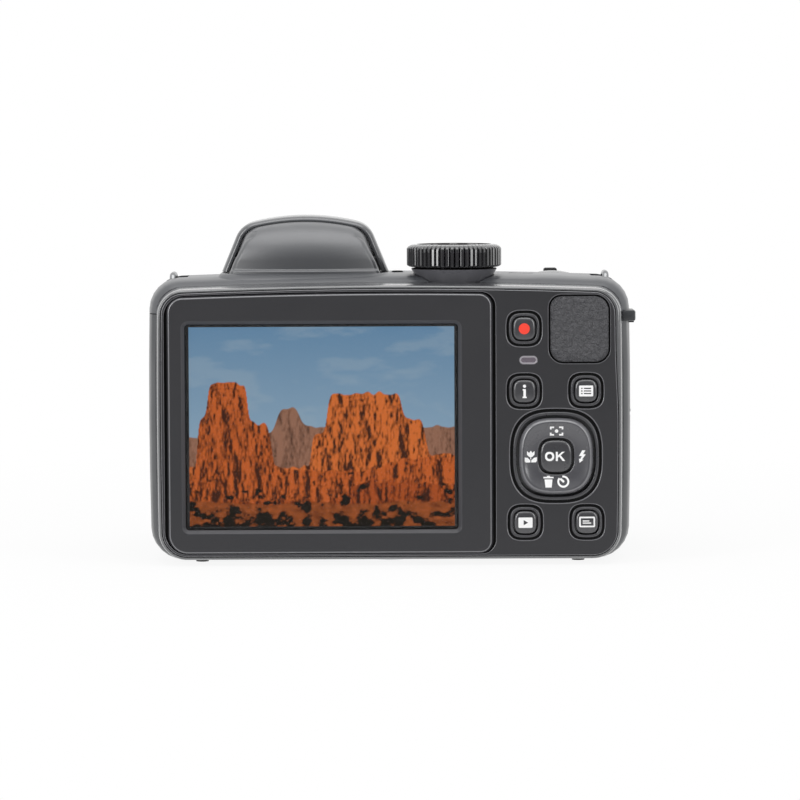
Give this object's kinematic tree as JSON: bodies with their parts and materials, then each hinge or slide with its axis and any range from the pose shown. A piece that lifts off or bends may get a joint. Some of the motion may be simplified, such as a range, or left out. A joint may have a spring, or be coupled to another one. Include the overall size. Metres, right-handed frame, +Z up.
{
  "type": "bridge camera",
  "caption": "Bridge camera with a rear screen, sprung buttons and four-way pad, mode dial, pop-up flash, hand grip and a zoom barrel that runs out in two stages.",
  "frame": {"origin": "centre of the tripod socket's mouth on the base, in the plane of the feet", "axes": "+X to the viewer's right along the body, +Y the way the lens points, +Z up"},
  "size_m": [0.1115, 0.0752, 0.0791],
  "materials": {
    "panel": "fine spark texture, satin",
    "shell": "moulded, satin",
    "tube": "turned, satin",
    "screen_glass": "polished",
    "screen": "polished",
    "optic": "coated, polished",
    "diffuser": "ribbed, clear",
    "steel": "stamped and rolled",
    "aluminium": "turned",
    "bright": "satin plated",
    "rubber": "grained",
    "silicone": "moulded",
    "board": "solder mask",
    "lamp_plastic": "clear, smooth",
    "dial_gloss": "fluted, glossy",
    "key_cap": "satin",
    "cell": "wrapped"
  },
  "bodies": {
    "body": {"rear_cover": "panel", "lcd_bezel": "panel", "lcd_window": "screen_glass", "lcd_panel": "screen", "lcd_tray": "steel", "thumb_rest": "rubber", "status_lamp": "lamp_plastic", "keypad_mat": "silicone", "key_board": "board", "main_board": "board", "front_cover": "shell", "top_cover": "shell", "grip_rubber": "rubber", "lens_barrel": "shell", "barrel_sleeve": "shell", "sensor_plate": "steel", "image_sensor": "screen", "relay_cell": "shell", "flash_drum": "panel", "flash_hinge_pin": "steel", "dial_collar": "dial_gloss", "top_board": "board", "port_door_pin": "steel", "port_block": "shell", "battery_door_pin": "steel", "battery": "cell", "battery_holder": "shell", "flash_capacitor": "cell", "af_lamp": "lamp_plastic", "tripod_socket": "aluminium", "feet": "rubber", "strap_lugs": "steel", "case_screws": "steel"},
    "lens_mid": {"middle_tube": "tube", "zoom_lens": "optic"},
    "lens_front": {"front_tube": "tube", "front_ring": "tube", "front_lens": "optic"},
    "flash": {"flash_cowl": "shell", "flash_floor": "shell", "flash_reflector": "bright", "flash_tube": "optic", "flash_window": "diffuser"},
    "dial": {"mode_dial": "dial_gloss"},
    "lever": {"zoom_lever": "dial_gloss"},
    "shutter": {"shutter_button": "bright"},
    "power": {"power_button": "bright"},
    "flash_key": {"flash_button": "key_cap"},
    "record_key": {"record_button": "key_cap"},
    "info_key": {"info_button": "key_cap"},
    "menu_key": {"menu_button": "key_cap"},
    "play_key": {"play_button": "key_cap"},
    "display_key": {"display_button": "key_cap"},
    "set_key": {"set_button": "key_cap"},
    "rocker": {"nav_rocker": "steel"},
    "pad": {"nav_pad": "key_cap"},
    "flap": {"port_door": "shell"},
    "hatch": {"battery_door": "shell"},
    "latch": {"battery_latch": "key_cap"}
  },
  "joints": [
    {"name": "zoom_mid", "type": "slide", "parent": "body", "child": "lens_mid", "axis": [0, 1, 0], "range_m": [0, 0.024]},
    {"name": "zoom_front", "type": "slide", "parent": "lens_mid", "child": "lens_front", "axis": [0, 1, 0], "range_m": [0, 0.024]},
    {"name": "flash_lift", "type": "hinge", "parent": "body", "child": "flash", "pos_m": [-0.0194, 0.002, 0.06885], "axis": [1, 0, 0], "range_deg": [0, 38]},
    {"name": "dial_turn", "type": "hinge", "parent": "body", "child": "dial", "pos_m": [0.0149, -0.0045, 0.07], "axis": [0, 0, 1], "continuous": true},
    {"name": "lever_turn", "type": "hinge", "parent": "body", "child": "lever", "pos_m": [0.0387, 0.033, 0.063], "axis": [0, 0, 1], "range_deg": [-18, 18], "stiffness_Nm_per_rad": 0.02},
    {"name": "shutter_press", "type": "slide", "parent": "body", "child": "shutter", "axis": [0, 0, -1], "range_m": [0, 0.0007], "stiffness_N_per_m": 800},
    {"name": "power_press", "type": "slide", "parent": "body", "child": "power", "axis": [0, 0, -1], "range_m": [0, 0.0005], "stiffness_N_per_m": 1200},
    {"name": "flash_key_press", "type": "slide", "parent": "body", "child": "flash_key", "axis": [0, 0, -1], "range_m": [0, 0.0004], "stiffness_N_per_m": 1200},
    {"name": "record_press", "type": "slide", "parent": "body", "child": "record_key", "axis": [0, 1, 0], "range_m": [0, 0.0005], "stiffness_N_per_m": 1600},
    {"name": "info_press", "type": "slide", "parent": "body", "child": "info_key", "axis": [0, 1, 0], "range_m": [0, 0.0005], "stiffness_N_per_m": 1600},
    {"name": "menu_press", "type": "slide", "parent": "body", "child": "menu_key", "axis": [0, 1, 0], "range_m": [0, 0.0005], "stiffness_N_per_m": 1600},
    {"name": "play_press", "type": "slide", "parent": "body", "child": "play_key", "axis": [0, 1, 0], "range_m": [0, 0.0005], "stiffness_N_per_m": 1600},
    {"name": "display_press", "type": "slide", "parent": "body", "child": "display_key", "axis": [0, 1, 0], "range_m": [0, 0.0005], "stiffness_N_per_m": 1600},
    {"name": "set_press", "type": "slide", "parent": "body", "child": "set_key", "axis": [0, 1, 0], "range_m": [0, 0.0004], "stiffness_N_per_m": 1600},
    {"name": "pad_tilt_up_down", "type": "hinge", "parent": "body", "child": "rocker", "pos_m": [0.0377, -0.0155, 0.02485], "axis": [1, 0, 0], "range_deg": [-2.5, 2.5], "stiffness_Nm_per_rad": 0.16},
    {"name": "pad_tilt_left_right", "type": "hinge", "parent": "rocker", "child": "pad", "pos_m": [0.0377, -0.0155, 0.02485], "axis": [0, 0, 1], "range_deg": [-2.5, 2.5], "stiffness_Nm_per_rad": 0.16},
    {"name": "flap_open", "type": "hinge", "parent": "body", "child": "flap", "pos_m": [0.05435, 0.002, 0.0343], "axis": [0, 1, 0], "range_deg": [0, 95]},
    {"name": "hatch_open", "type": "hinge", "parent": "body", "child": "hatch", "pos_m": [0.0315, 0.017, 0.0015], "axis": [0, 1, 0], "range_deg": [0, 85]},
    {"name": "latch_slide", "type": "slide", "parent": "hatch", "child": "latch", "axis": [1, 0, 0], "range_m": [0, 0.0025]}
  ],
  "couplings": [
    {"joint": "zoom_front", "follows": "zoom_mid", "ratio": 1}
  ]
}
